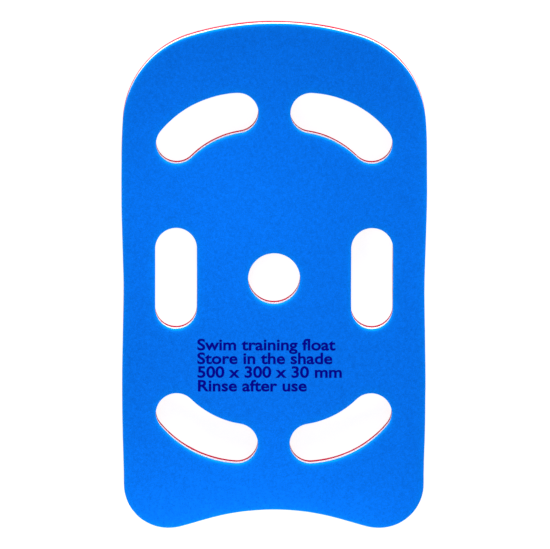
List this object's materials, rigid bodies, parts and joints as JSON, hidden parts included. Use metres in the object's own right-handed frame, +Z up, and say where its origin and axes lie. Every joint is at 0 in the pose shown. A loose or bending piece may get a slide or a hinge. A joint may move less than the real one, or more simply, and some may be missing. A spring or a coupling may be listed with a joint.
{
  "type": "kickboard float",
  "caption": "Flat foam kickboard with a rounded nose, hollow tail, laminated coloured sheets and cut-through hand slots around a round centre hole.",
  "frame": {"origin": "centre of the underside, half way along and half way across the board", "axes": "+Y towards the rounded nose, +X across the board, +Z up out of the blue deck"},
  "size_m": [0.3, 0.4999, 0.0301],
  "materials": {
    "blue_foam": "matte",
    "white_foam": "matte",
    "red_foam": "matte",
    "marking_ink": "satin"
  },
  "bodies": {
    "root": {"deck_foam_sheet": "blue_foam", "core_foam_sheet": "white_foam", "bottom_foam_sheet": "red_foam", "printed_marking": "marking_ink"}
  },
  "joints": []
}
